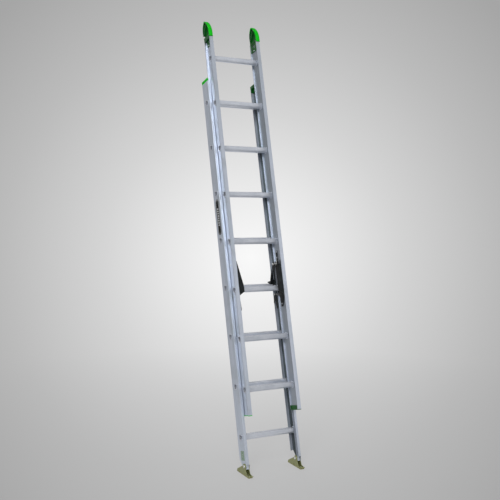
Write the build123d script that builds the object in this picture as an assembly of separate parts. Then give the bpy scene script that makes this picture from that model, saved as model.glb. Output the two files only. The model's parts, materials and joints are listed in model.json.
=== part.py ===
from build123d import *
import math
import os

# A two-section aluminium extension ladder, leaning at its working angle.
#
# Every piece is first drawn with the rails upright: X runs across the ladder, Y runs from the
# climber (-Y) to the wall (+Y), and Z runs along the rails from the level of the shoe bolts. The last
# step leans the ladder, so that its soles lie flat on Z = 0 and the origin is midway between them.
# Left is -X. Right-hand pieces are mirror images of left-hand ones.

# ---- driving dimensions, in mm and degrees ----
LEAN = 14.5                  # rails from the vertical
RUNG_PITCH = 304.8
RUNGS = 8                    # in each section

BASE_HALF_WIDTH = 190.0      # centre line to the outer face of a base rail
FLY_HALF_WIDTH = 168.0       # centre line to the outer face of a fly rail
BASE_FRONT = 28.0            # base rung axis to the front of the base channel
BASE_REAR = 47.0             # base rung axis to the back of the base channel
FLY_DEPTH = 90.0             # fly rail, with its rungs in the middle
WALL = 2.0                   # rails
BASE_FLANGE = 20.0
FLY_FLANGE_IN = 10.0         # fly rail's edges, inward from the outer face of its web
FLY_FLANGE_OUT = 15.0        # fly rail's front edge, outward
TONGUE_REACH = 12.0          # fly rail's rear edge, outward, in the guide groove
CORNER_RADIUS = 2.5
BEAD = 3.0                   # height of the thickened flange edges

FOOT_HEIGHT = 52.0           # floor to the start of the rung line, which passes over the origin
PIVOT_FORWARD = 14.0         # shoe bolt in front of the rung line
FIRST_RUNG = 170.0           # base rung 1 above the shoe bolt
BASE_BELOW_PIVOT = 18.0
BASE_FOOT_HALF = 16.0        # half the width left at the foot of a base rail
BASE_CUT_FRONT = 15.0        # where the sloping foot cuts meet the front and back of the rail
BASE_CUT_REAR = 46.0
BASE_ABOVE_TOP_RUNG = 142.0
FLY_RAISED = 1               # rungs that the fly stands above its nested place
FLY_DROP = 23.0              # fly rungs hang this far below the base rungs behind them
FLY_BELOW_RUNG = 153.0
FLY_ABOVE_TOP_RUNG = 142.0
STROKE_UP = 1219.2           # from this pose to the highest locked rung
STOP_ALLOWANCE = 45.0        # lift above the highest rung before the stops meet

GUIDE_REACH = 14.0           # how far the base guide lip stands in front of the base channel
GUIDE_LIP = 17.0             # how far the guide lip turns inward
GUIDE_HOOK = 2.5
TONGUE_GAP = 4.0             # base channel to fly rail
STOP_LENGTH = 40.0
STOP_WIDTH = 8.0

RUNG_WIDTH = 36.0
RUNG_TOP = 16.0              # rung axis to the tread
RUNG_WALL = 2.0
TREAD_RADIUS = 3.0
GROOVES = 5
GROOVE_PITCH = 5.5
GROOVE_WIDTH = 1.4
GROOVE_DEPTH = 0.6
COLLAR_GROW = 3.5
COLLAR_OUTSIDE = 2.5
COLLAR_INSIDE = 3.0

LOCK_RUNG = 3                # the locks are beside this fly rung
LOCK_PIVOT_IN = 23.0         # lock pivot in front of the fly rail's rear edge
LOCK_PIVOT_RISE = 158.0      # above the fly rung
LOCK_BOLT_DIAMETER = 8.0
LOCK_PLATE = 3.0
HOOK_PLATE_IN = 26.0         # hook plate from the fly web
HOOK_PLATE = 3.5
HOOK_BOSS = 14.0
SADDLE_FROM = 14.0           # saddle from the fly web, to the full width of the lock
LOCK_WIDTH = 46.0
SADDLE_TOP = 31.5            # above the base rung axis
SADDLE_REACH = 15.0          # behind the base rung axis
SEAT_GAP = 0.4
BRACKET_TOP_WIDTH = 12.0
BRACKET_BELOW_RUNG = 118.0
BRACKET_TOP_MARGIN = 18.0
FINGER_PIVOT_IN = 18.0       # finger pivot in front of the fly rail's rear edge
FINGER_PIVOT_DROP = 36.0     # below the fly rung
FINGER_IN = 34.0
FINGER_PLATE = 4.0
FINGER_LENGTH = 60.0
FINGER_PIN_DIAMETER = 7.0
FINGER_BOSS = 9.0
FINGER_TILT = 22.5           # short blade, from the rail line
LOBE_LENGTH = 85.0           # long blade, pivot to the middle of its round end
LOBE_FORWARD = 12.0
LOBE_END = 8.0
SPRING_WIRE = 1.8
SPRING_RADIUS = 8.0
SPRING_TURNS = 5

CAP_OUTSIDE = 17.5           # cap head outside the fly web
CAP_INSIDE = 8.0             # cap head inside the outer face of the fly web
CAP_RISE = 117.0
CAP_CROWN = 12.0             # top of the cap behind the fly rungs
CAP_TAB = 60.0
CAP_TAB_PLATE = 3.0
CAP_TAB_HALF = 23.0
CAP_WALL = 6.0
CAP_LIP = 8.0                # cap over the front edge of the rail
CAP_SKIRT = 20.0             # cap below the top of the rail, in the outer channel
CAP_RECESS = 11.0
CAP_RIB_TILT = 52.0
PLUG_PLATE = 20.0
PLUG_LEG = 26.0
BOTTOM_PLUG_PLATE = 4.0
BOTTOM_PLUG_LEG = 24.0

SHOE_PLATE = 3.0
SHOE_BOLT_DIAMETER = 9.5
BOLT_HEAD = 5.0
BOLT_DOME = 4.0
SHOE_FRONT = 58.0
SHOE_REAR = 95.0
SHOE_BOSS = 17.0
SHOE_REAR_WALL = 7.0         # height of an ear at the back and at the front
SHOE_FRONT_WALL = 2.0
SOLE_PLATE = 3.0
TREAD = 6.0
TREAD_RIB = 2.0
TREAD_SLOTS = 9
TREAD_SLOT = 3.0
TREAD_RIVET_PLACE = 0.7      # of the way to each end
TOE_LENGTH = 13.0
TOE_ANGLE = 35.0
TOE_TEETH = 4

LABEL_LENGTH = 232.0
LABEL_WIDTH = 44.0
LABEL_RUNG = 5               # the long label is between this base rung and the next one up
FOOT_LABEL_LENGTH = 58.0
FOOT_LABEL_RISE = 62.0
LABEL_THICKNESS = 0.2

RIVET_RADIUS = 2.5
RIVET_HEAD_RADIUS = 4.8
RIVET_HEAD = 2.0
RIVET_ROUND = 1.6
CAP_RIVET_DROP = 54.0        # cap rivet below the top of the fly rail
LOCK_RIVET_BEHIND = 10.0     # lock rivets behind the fly rungs
LOCK_RIVET_RISES = (197.0, 235.0)
LOCK_RIVET_DROP = 100.0

# ---- named clearances ----
RUN_FIT = 0.08               # radial, pins and bolts in what turns on them
FIXED_FIT = 0.05             # radial, pieces fastened together
SLIDE_GAP = 0.5              # beside what moves
COVER_GAP = 0.2              # plastic ends round the rails

# ---- places worked out from the sizes ----
FLY_REAR = -BASE_FRONT - TONGUE_GAP
FLY_FRONT = FLY_REAR - FLY_DEPTH
FLY_Y = (FLY_FRONT + FLY_REAR) / 2        # fly rungs
BASE_TOP_RUNG = FIRST_RUNG + (RUNGS - 1) * RUNG_PITCH
BASE_TOP = BASE_TOP_RUNG + BASE_ABOVE_TOP_RUNG
FLY_FIRST_RUNG = FIRST_RUNG + FLY_RAISED * RUNG_PITCH - FLY_DROP
FLY_TOP_RUNG = FLY_FIRST_RUNG + (RUNGS - 1) * RUNG_PITCH
FLY_BOTTOM = FLY_FIRST_RUNG - FLY_BELOW_RUNG
FLY_TOP = FLY_TOP_RUNG + FLY_ABOVE_TOP_RUNG
FLY_WEB_IN = FLY_HALF_WIDTH - WALL        # centre line to the inner face of a fly web
GUIDE_FRONT = -BASE_FRONT - GUIDE_REACH
TONGUE_TIP = -FLY_HALF_WIDTH - TONGUE_REACH
LOCK_FLY_RUNG_Z = FLY_FIRST_RUNG + (LOCK_RUNG - 1) * RUNG_PITCH
LOCK_BASE_RUNG_Z = LOCK_FLY_RUNG_Z + FLY_DROP
LOCK_PIVOT_Y = FLY_REAR - LOCK_PIVOT_IN
LOCK_PIVOT_Z = LOCK_FLY_RUNG_Z + LOCK_PIVOT_RISE
LOCK_RIVET_Y = FLY_Y + LOCK_RIVET_BEHIND
FINGER_PIVOT_Y = FLY_REAR - FINGER_PIVOT_IN
FINGER_PIVOT_Z = LOCK_FLY_RUNG_Z - FINGER_PIVOT_DROP
SHOE_PIVOT_HEIGHT = FOOT_HEIGHT + PIVOT_FORWARD * math.sin(math.radians(LEAN))
SHOE_PIVOT_FORWARD = PIVOT_FORWARD * math.cos(math.radians(LEAN))
SHOE_OUT = -BASE_HALF_WIDTH - SLIDE_GAP               # inner face of the outer ear
SHOE_IN = -BASE_HALF_WIDTH + BASE_FLANGE + SLIDE_GAP  # outer face of the inner ear
SOLE_Z = -SHOE_PIVOT_HEIGHT + TREAD                   # underside of the sole plate
ACROSS = Plane.YZ                         # a drawing plane whose normal runs across the ladder


def bar(x0, x1, y0, y1):
    """A rectangle between two pairs of coordinates."""
    return Pos((x0 + x1) / 2, (y0 + y1) / 2) * Rectangle(abs(x1 - x0), abs(y1 - y0))


def block(x0, x1, y0, y1, z0, z1):
    """A box between three pairs of coordinates."""
    middle = Pos((x0 + x1) / 2, (y0 + y1) / 2, (z0 + z1) / 2)
    return middle * Box(abs(x1 - x0), abs(y1 - y0), abs(z1 - z0))


def rod(y, z, x0, x1, radius):
    """A round bar that runs across the ladder."""
    return Pos((x0 + x1) / 2, y, z) * Rot(0, 90, 0) * Cylinder(radius, abs(x1 - x0))


def side_plate(face, x0, x1):
    """A drawing in side view, given thickness from x0 to x1."""
    return extrude(ACROSS.offset(min(x0, x1)) * face, abs(x1 - x0), dir=(1, 0, 0))


def front_plate(face, y0, y1):
    """A drawing in front view, given thickness from y0 to y1."""
    return extrude(Plane.XZ.offset(-y0) * face, y1 - y0, dir=(0, 1, 0))


def in_from_web(inward):
    """X of a point that stands inward of the left fly web."""
    return -FLY_WEB_IN + inward


def mirrored(shape):
    """The right-hand copy of a left-hand piece."""
    return mirror(shape, about=Plane.YZ)


def joined(solids):
    """One solid from pieces that meet."""
    whole = solids[0]
    for solid in solids[1:]:
        whole = whole + solid
    return whole


# ---- rungs ----
def rung_outline(grow=0.0):
    """The rung's section in side view, flat on top and round below, its tread level once leaned."""
    half = RUNG_WIDTH / 2 + grow
    top = RUNG_TOP + grow
    outline = (Circle(half) & bar(-half, half, -half, 0)) + bar(-half, half, 0, top)
    corners = outline.vertices().group_by(Axis.Y)[-1]
    return Rot(0, 0, LEAN) * fillet(corners, TREAD_RADIUS + max(grow, -RUNG_WALL))


def rung_grooves():
    """Slots that cut the tread into ribs."""
    slots = []
    for number in range(GROOVES):
        across = (number - (GROOVES - 1) / 2) * GROOVE_PITCH
        slots.append(Pos(across, RUNG_TOP) * Rectangle(GROOVE_WIDTH, 2 * GROOVE_DEPTH))
    return Rot(0, 0, LEAN) * joined(slots)


def rung(half_width, y, z):
    """One open-ended rung, with the collars that clinch it to both webs."""
    web_in = half_width - WALL
    bore = rung_outline(-RUNG_WALL)
    collar = rung_outline(COLLAR_GROW) - bore
    neck = rung_outline(-FIXED_FIT) - bore
    tread = rung_outline() - rung_grooves() - bore
    inside = web_in - COLLAR_INSIDE
    outside = half_width + COLLAR_OUTSIDE
    pieces = [side_plate(tread, -inside, inside)]
    for side in (-1, 1):
        pieces.append(side_plate(neck, side * inside, side * outside))
        pieces.append(side_plate(collar, side * inside, side * web_in))
        pieces.append(side_plate(collar, side * half_width, side * outside))
    return Pos(0, y, z) * joined(pieces)


def rung_holes(y, first):
    """The openings that a rail's web has for its rungs."""
    through = side_plate(rung_outline(), -BASE_HALF_WIDTH - WALL, -FLY_HALF_WIDTH + 2 * WALL)
    return [Pos(0, y, first + number * RUNG_PITCH) * through for number in range(RUNGS)]


# ---- rails ----
def base_section():
    """The left base rail: a channel that opens inward, with a guide groove along its front."""
    outer = -BASE_HALF_WIDTH
    tip = outer + BASE_FLANGE
    lip = outer + GUIDE_LIP
    web = bar(outer, outer + WALL, GUIDE_FRONT, BASE_REAR)
    strips = [
        bar(outer, tip, BASE_REAR - WALL, BASE_REAR),
        bar(tip - WALL, tip, BASE_REAR - WALL - BEAD, BASE_REAR),
        bar(outer, tip, -BASE_FRONT, -BASE_FRONT + WALL),
        bar(tip - WALL, tip, -BASE_FRONT, -BASE_FRONT + WALL + BEAD),
        bar(outer, lip, GUIDE_FRONT, GUIDE_FRONT + WALL),
        bar(lip - WALL, lip, GUIDE_FRONT, GUIDE_FRONT + WALL + GUIDE_HOOK),
    ]
    section = joined([web] + strips)
    corners = section.vertices().group_by(Axis.X)[0]
    return fillet(corners, CORNER_RADIUS)


def fly_section():
    """The left fly rail: an I shape, whose rear edge is a tongue that runs in the guide groove."""
    outer = -FLY_HALF_WIDTH
    tip = outer + FLY_FLANGE_IN
    front_tip = outer - FLY_FLANGE_OUT
    bead = FLY_FRONT + WALL + BEAD
    web = bar(outer, outer + WALL, FLY_FRONT, FLY_REAR)
    strips = [
        bar(front_tip, tip, FLY_FRONT, FLY_FRONT + WALL),
        bar(front_tip, front_tip + WALL, FLY_FRONT, bead),
        bar(tip - WALL, tip, FLY_FRONT, bead),
        bar(TONGUE_TIP, tip, FLY_REAR - WALL, FLY_REAR),
        bar(TONGUE_TIP, TONGUE_TIP + WALL, FLY_REAR - WALL - BEAD, FLY_REAR),
    ]
    return joined([web] + strips)


def foot_cuts():
    """What is cut off the foot of a left base rail, so that the shoe can tilt."""
    low = -BASE_BELOW_PIVOT
    front = Polygon(
        (-PIVOT_FORWARD - BASE_FOOT_HALF, low),
        (GUIDE_FRONT, BASE_CUT_FRONT),
        (GUIDE_FRONT - BASE_FOOT_HALF, BASE_CUT_FRONT),
        (GUIDE_FRONT - BASE_FOOT_HALF, low - WALL),
        (-PIVOT_FORWARD - BASE_FOOT_HALF, low - WALL),
        align=None,
    )
    rear = Polygon(
        (BASE_FOOT_HALF - PIVOT_FORWARD, low),
        (BASE_REAR, BASE_CUT_REAR),
        (BASE_REAR + BASE_FOOT_HALF, BASE_CUT_REAR),
        (BASE_REAR + BASE_FOOT_HALF, low - WALL),
        (BASE_FOOT_HALF - PIVOT_FORWARD, low - WALL),
        align=None,
    )
    x0 = -BASE_HALF_WIDTH - WALL
    x1 = -BASE_HALF_WIDTH + BASE_FLANGE + WALL
    return [side_plate(front, x0, x1), side_plate(rear, x0, x1)]


def base_rail():
    """Left base rail, with its rung holes, shoe bolt hole and sloping foot."""
    rail = Pos(0, 0, -BASE_BELOW_PIVOT) * extrude(base_section(), BASE_TOP + BASE_BELOW_PIVOT)
    outer = -BASE_HALF_WIDTH
    hole_radius = SHOE_BOLT_DIAMETER / 2 + FIXED_FIT
    bolt_hole = rod(-PIVOT_FORWARD, 0, outer - WALL, outer + 2 * WALL, hole_radius)
    return rail - joined(rung_holes(0, FIRST_RUNG) + [bolt_hole] + foot_cuts())


def fly_rail():
    """Left fly rail, with its holes."""
    rail = extrude(fly_section(), FLY_TOP - FLY_BOTTOM)
    outer = -FLY_HALF_WIDTH
    ends = (outer - WALL, outer + 2 * WALL)
    holes = rung_holes(FLY_Y, FLY_FIRST_RUNG)
    holes.append(rod(LOCK_PIVOT_Y, LOCK_PIVOT_Z, *ends, LOCK_BOLT_DIAMETER / 2 + FIXED_FIT))
    holes.append(rod(FINGER_PIVOT_Y, FINGER_PIVOT_Z, *ends, FINGER_PIN_DIAMETER / 2 + FIXED_FIT))
    for y, z in lock_rivet_places():
        holes.append(rod(y, z, *ends, RIVET_RADIUS + FIXED_FIT))
    holes.append(rod(FLY_Y, FLY_TOP - CAP_RIVET_DROP, *ends, RIVET_RADIUS + FIXED_FIT))
    return Pos(0, 0, FLY_BOTTOM) * rail - joined(holes)


# ---- rivets ----
def lock_rivet_places():
    """Where the left lock bracket is riveted to the web: two above the pivot and one below."""
    places = [(LOCK_RIVET_Y, LOCK_FLY_RUNG_Z + rise) for rise in LOCK_RIVET_RISES]
    places.append((LOCK_RIVET_Y, LOCK_FLY_RUNG_Z - LOCK_RIVET_DROP))
    return places


def rivet(y, z, x_out, x_in):
    """A rivet through everything from x_out to x_in, with a domed head at each end."""
    shank = rod(y, z, x_out, x_in, RIVET_RADIUS)
    heads = []
    for x, way in ((x_out, -1), (x_in, 1)):
        head = rod(y, z, x, x + way * RIVET_HEAD, RIVET_HEAD_RADIUS)
        rim = head.edges().filter_by(GeomType.CIRCLE).sort_by(Axis.X)[0 if way < 0 else -1]
        heads.append(fillet(rim, RIVET_ROUND))
    return joined([shank] + heads)


# ---- locks ----
def lock_bracket():
    """Left lock bracket: a plate on the web, round the rung end, and a three-cornered front plate."""
    top = LOCK_PIVOT_Z + BRACKET_TOP_MARGIN
    shoulder = LOCK_FLY_RUNG_Z + RUNG_WIDTH
    bottom = LOCK_FLY_RUNG_Z - BRACKET_BELOW_RUNG
    tab_top = LOCK_FLY_RUNG_Z + LOCK_RIVET_RISES[-1] + RIVET_HEAD_RADIUS + WALL
    front = FLY_FRONT + WALL + BEAD + SLIDE_GAP
    rear = FLY_REAR - WALL - SLIDE_GAP
    tab = RIVET_HEAD_RADIUS + 2 * WALL
    outline = Polygon(
        (front, LOCK_FLY_RUNG_Z - RUNG_WIDTH),
        (front, LOCK_FLY_RUNG_Z + RUNG_WIDTH / 2),
        (LOCK_RIVET_Y - tab, top),
        (LOCK_RIVET_Y - tab, tab_top),
        (LOCK_RIVET_Y + tab, tab_top),
        (LOCK_RIVET_Y + tab, top),
        (rear, top),
        (rear, shoulder),
        (rear, LOCK_FLY_RUNG_Z - RUNG_WIDTH),
        (FINGER_PIVOT_Y + WALL, FINGER_PIVOT_Z - FINGER_BOSS * 2),
        (LOCK_RIVET_Y + tab, bottom),
        (LOCK_RIVET_Y - tab, bottom),
        align=None,
    )
    plate = side_plate(outline, in_from_web(0), in_from_web(LOCK_PLATE))
    at = Pos(0, FLY_Y, LOCK_FLY_RUNG_Z)
    round_rung = at * side_plate(rung_outline(COLLAR_GROW + SLIDE_GAP), in_from_web(-1), in_from_web(9))
    ends = (in_from_web(-WALL), in_from_web(2 * LOCK_PLATE))
    holes = [
        round_rung,
        rod(LOCK_PIVOT_Y, LOCK_PIVOT_Z, *ends, LOCK_BOLT_DIAMETER / 2 + FIXED_FIT),
        rod(FINGER_PIVOT_Y, FINGER_PIVOT_Z, *ends, FINGER_PIN_DIAMETER / 2 + FIXED_FIT),
    ]
    for y, z in lock_rivet_places():
        holes.append(rod(y, z, *ends, RIVET_RADIUS + FIXED_FIT))
    face = Polygon(
        (in_from_web(0), top),
        (in_from_web(BRACKET_TOP_WIDTH), top),
        (in_from_web(LOCK_WIDTH), LOCK_FLY_RUNG_Z + RUNG_WIDTH / 2),
        (in_from_web(LOCK_WIDTH), LOCK_FLY_RUNG_Z - RUNG_WIDTH / 2),
        (in_from_web(FLY_FLANGE_IN), LOCK_FLY_RUNG_Z - RUNG_WIDTH - FLY_FLANGE_IN / 2),
        (in_from_web(0), LOCK_FLY_RUNG_Z - RUNG_WIDTH - FLY_FLANGE_IN / 2),
        align=None,
    )
    return plate - joined(holes) + front_plate(face, front, front + LOCK_PLATE)


def lock_bolt():
    """Left lock bolt, headed on the inside and peened over on the outside of the web."""
    radius = LOCK_BOLT_DIAMETER / 2
    x_out = in_from_web(-WALL)
    x_in = in_from_web(HOOK_PLATE_IN + HOOK_PLATE + SLIDE_GAP)
    head = rod(LOCK_PIVOT_Y, LOCK_PIVOT_Z, x_in, x_in + BOLT_HEAD, radius * 2)
    rim = head.edges().filter_by(GeomType.CIRCLE).sort_by(Axis.X)[-1]
    peened = rod(LOCK_PIVOT_Y, LOCK_PIVOT_Z, x_out - RIVET_HEAD, x_out, radius * 1.4)
    return rod(LOCK_PIVOT_Y, LOCK_PIVOT_Z, x_out, x_in, radius) + fillet(rim, BOLT_DOME) + peened


def lock_sleeve():
    """Left spacer that holds the hook off the web."""
    x0 = in_from_web(LOCK_PLATE)
    x1 = in_from_web(HOOK_PLATE_IN - SLIDE_GAP)
    radius = LOCK_BOLT_DIAMETER / 2
    tube = rod(LOCK_PIVOT_Y, LOCK_PIVOT_Z, x0, x1, radius + WALL)
    return tube - rod(LOCK_PIVOT_Y, LOCK_PIVOT_Z, x0, x1, radius + FIXED_FIT)


def lock_spring():
    """Left torsion spring, coiled round the sleeve with a leg up the web."""
    length = HOOK_PLATE_IN - LOCK_PLATE - 4 * SPRING_WIRE
    path = Helix(pitch=length / SPRING_TURNS, height=length, radius=SPRING_RADIUS)
    start = Plane(origin=path @ 0, z_dir=path % 0)
    coil = sweep(start * Circle(SPRING_WIRE / 2), path)
    x0 = in_from_web(LOCK_PLATE + 2 * SPRING_WIRE)
    return Pos(x0, LOCK_PIVOT_Y, LOCK_PIVOT_Z) * Rot(0, 90, 0) * coil


def seat_radius():
    """From the lock pivot to the hook's seat, which is struck about the pivot."""
    corner_y = -(RUNG_WIDTH / 2 - TREAD_RADIUS)
    corner_z = RUNG_TOP - TREAD_RADIUS
    lean = math.radians(LEAN)
    y = corner_y * math.cos(lean) - corner_z * math.sin(lean) - LOCK_PIVOT_Y
    z = corner_y * math.sin(lean) + corner_z * math.cos(lean) + LOCK_BASE_RUNG_Z - LOCK_PIVOT_Z
    return math.hypot(y, z) - TREAD_RADIUS - SEAT_GAP


def lock_hook():
    """Left rung lock: a windowed plate on the pivot and a saddle that lies over the base rung."""
    level = LOCK_BASE_RUNG_Z
    behind = -RUNG_WIDTH / 2 - 2 * WALL       # the plate stays in front of the base rungs
    front = LOCK_PIVOT_Y
    boss = Pos(LOCK_PIVOT_Y, LOCK_PIVOT_Z) * Circle(HOOK_BOSS)
    body = Polygon(
        (LOCK_PIVOT_Y - HOOK_BOSS, LOCK_PIVOT_Z),
        (LOCK_PIVOT_Y + HOOK_BOSS, LOCK_PIVOT_Z),
        (behind, level + SADDLE_TOP + RUNG_WIDTH / 2),
        (behind, level + WALL),
        (front, level + WALL),
        align=None,
    )
    saddle = Polygon(
        (behind - 2 * WALL, level + SADDLE_TOP),
        (SADDLE_REACH, level + SADDLE_TOP),
        (SADDLE_REACH, level),
        (behind - 2 * WALL, level),
        align=None,
    )
    seat = Pos(LOCK_PIVOT_Y, LOCK_PIVOT_Z) * Circle(seat_radius())
    saddle = saddle & seat
    window_top = LOCK_PIVOT_Z - 2.4 * HOOK_BOSS
    window = Polygon(
        (LOCK_PIVOT_Y, window_top),
        (LOCK_PIVOT_Y + HOOK_BOSS / 2, window_top),
        (behind - HOOK_BOSS / 2, level + SADDLE_TOP + HOOK_BOSS / 2),
        (front + HOOK_BOSS / 2, level + SADDLE_TOP + WALL),
        align=None,
    )
    window = fillet(window.vertices(), TREAD_RADIUS)
    plate_face = boss + body - window
    x0 = in_from_web(HOOK_PLATE_IN)
    x1 = in_from_web(HOOK_PLATE_IN + HOOK_PLATE)
    plate = side_plate(plate_face, x0, x1)
    wide = side_plate(saddle, in_from_web(SADDLE_FROM), in_from_web(LOCK_WIDTH))
    rib_face = Polygon(
        (x1, LOCK_PIVOT_Z - 2 * HOOK_BOSS),
        (in_from_web(LOCK_WIDTH), level + SADDLE_TOP),
        (x1, level + SADDLE_TOP),
        align=None,
    )
    rib = front_plate(rib_face, behind - HOOK_PLATE, behind)
    bore = rod(LOCK_PIVOT_Y, LOCK_PIVOT_Z, x0 - 1, x1 + 1, LOCK_BOLT_DIAMETER / 2 + RUN_FIT)
    return plate + wide + rib - bore


def finger_pin():
    """Left finger pin, from the web to the finger."""
    radius = FINGER_PIN_DIAMETER / 2
    x_out = in_from_web(-WALL)
    x_shoulder = in_from_web(FINGER_IN - SLIDE_GAP)
    x_in = in_from_web(FINGER_IN + FINGER_PLATE + SLIDE_GAP)
    x_plate = in_from_web(LOCK_PLATE)
    at = (FINGER_PIVOT_Y, FINGER_PIVOT_Z)
    pieces = [
        rod(*at, x_out, x_in, radius),
        rod(*at, x_plate, x_shoulder, radius + WALL),
        rod(*at, x_in, x_in + RIVET_HEAD, radius + WALL),
        rod(*at, x_out - RIVET_HEAD, x_out, radius + WALL / 2),
    ]
    return joined(pieces)


def lock_finger():
    """Left finger: a long and a short blade that hang from one pin and swing up behind."""
    boss = Circle(FINGER_BOSS)
    lobe = Polygon(
        (-FINGER_BOSS, 0),
        (FINGER_BOSS, 0),
        (LOBE_END - LOBE_FORWARD, -LOBE_LENGTH),
        (-LOBE_END - LOBE_FORWARD, -LOBE_LENGTH),
        align=None,
    )
    blade = Polygon(
        (-FINGER_BOSS + 1.0, 0),
        (FINGER_BOSS - 1.0, 0),
        (FINGER_BOSS - 1.0, -FINGER_LENGTH * 0.6),
        (WALL, -FINGER_LENGTH),
        (-WALL * 2, -FINGER_LENGTH),
        align=None,
    )
    at = Pos(FINGER_PIVOT_Y, FINGER_PIVOT_Z)
    tilted = at * Rot(0, 0, FINGER_TILT)
    lobe_end = at * Pos(-LOBE_FORWARD, -LOBE_LENGTH) * Circle(LOBE_END)
    x0 = in_from_web(FINGER_IN)
    x1 = in_from_web(FINGER_IN + FINGER_PLATE)
    bore = rod(FINGER_PIVOT_Y, FINGER_PIVOT_Z, x0 - 1, x1 + 1, FINGER_PIN_DIAMETER / 2 + RUN_FIT)
    faces = [at * boss, tilted * blade, at * lobe, lobe_end]
    return joined([side_plate(face, x0, x1) for face in faces]) - bore


# ---- plastic ends and stops ----
def base_top_plug():
    """Left end cover on top of a base rail, with a leg down its channel."""
    outer = -BASE_HALF_WIDTH
    inner = outer + BASE_FLANGE
    y0 = -BASE_FRONT + WALL + BEAD + COVER_GAP
    y1 = BASE_REAR - WALL - BEAD - COVER_GAP
    z_leg = BASE_TOP - PLUG_LEG
    top = BASE_TOP + PLUG_PLATE
    cover = block(outer, inner, -BASE_FRONT, BASE_REAR, BASE_TOP, top)
    cover = cover + block(outer, outer + WALL, GUIDE_FRONT, -BASE_FRONT, BASE_TOP, top)
    cover = fillet(cover.edges().group_by(Axis.Z)[-1], CORNER_RADIUS / 3)
    leg = block(outer + WALL + COVER_GAP, inner, y0, y1, z_leg, BASE_TOP)
    core = block(outer + 3 * WALL, inner + WALL, y0 + WALL, y1 - WALL, z_leg, BASE_TOP)
    return cover + (leg - core)


def fly_bottom_plug():
    """Left end cover below a fly rail, with a leg up its channel."""
    outer = -FLY_HALF_WIDTH
    inner = outer + FLY_FLANGE_IN
    y0 = FLY_FRONT + WALL + BEAD + COVER_GAP
    y1 = FLY_REAR - WALL - COVER_GAP
    z_leg = FLY_BOTTOM + BOTTOM_PLUG_LEG
    low = FLY_BOTTOM - BOTTOM_PLUG_PLATE
    cover = block(outer, inner, FLY_FRONT, FLY_REAR, low, FLY_BOTTOM)
    cover = cover + block(outer - FLY_FLANGE_OUT, outer, FLY_FRONT, y0, low, FLY_BOTTOM)
    leg = block(outer + WALL + COVER_GAP, inner, y0, y1, FLY_BOTTOM, z_leg)
    core = block(outer + 3 * WALL, inner + WALL, y0 + WALL, y1 - WALL, FLY_BOTTOM, z_leg)
    return cover + (leg - core)


def stop_block(z0, towards_fly):
    """Left travel stop in the gap between the channels, fixed to one of them."""
    y0 = FLY_REAR
    y1 = -BASE_FRONT
    if towards_fly:
        y1 -= SLIDE_GAP
    else:
        y0 += SLIDE_GAP
    return block(TONGUE_TIP, TONGUE_TIP + STOP_WIDTH, y0, y1, z0, z0 + STOP_LENGTH)


def cap_outline():
    """The fly cap in side view: a tall mitt, round at the front and steeper behind."""
    front = FLY_FRONT - CAP_WALL / 2
    front_in = FLY_FRONT - COVER_GAP
    front_mid = (front + 0.14 * FLY_DEPTH, FLY_TOP + 0.58 * CAP_RISE)
    rear = FLY_REAR - CAP_WALL / 2
    rear_mid = (rear - CAP_WALL, FLY_TOP + 0.73 * CAP_RISE)
    crown = (FLY_Y + CAP_CROWN, FLY_TOP + CAP_RISE)
    shoulder = (rear, FLY_TOP + 0.3 * CAP_RISE)
    lip = FLY_TOP - CAP_LIP
    sits = FLY_TOP + COVER_GAP
    edges = [
        Line((front_in, lip), (front, lip)),
        ThreePointArc((front, lip), front_mid, crown),
        ThreePointArc(crown, rear_mid, shoulder),
        Line(shoulder, (rear, sits)),
        Line((rear, sits), (front_in, sits)),
        Line((front_in, sits), (front_in, lip)),
    ]
    return make_face(Wire(edges))


def cap_tab(x0, x1, y0, y1):
    """One of the two plates that reach down each side of the web, with its window."""
    face = bar(y0, y1, FLY_TOP - CAP_TAB, FLY_TOP + CAP_WALL)
    face = fillet(face.vertices().group_by(Axis.Y)[0], CAP_WALL)
    window = Polygon(
        (FLY_Y - 0.55 * CAP_TAB_HALF, FLY_TOP - 0.2 * CAP_TAB),
        (FLY_Y + 0.6 * CAP_TAB_HALF, FLY_TOP - 0.27 * CAP_TAB),
        (FLY_Y - 0.25 * CAP_TAB_HALF, FLY_TOP - 0.7 * CAP_TAB),
        align=None,
    )
    return side_plate(face - window, x0, x1)


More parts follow.
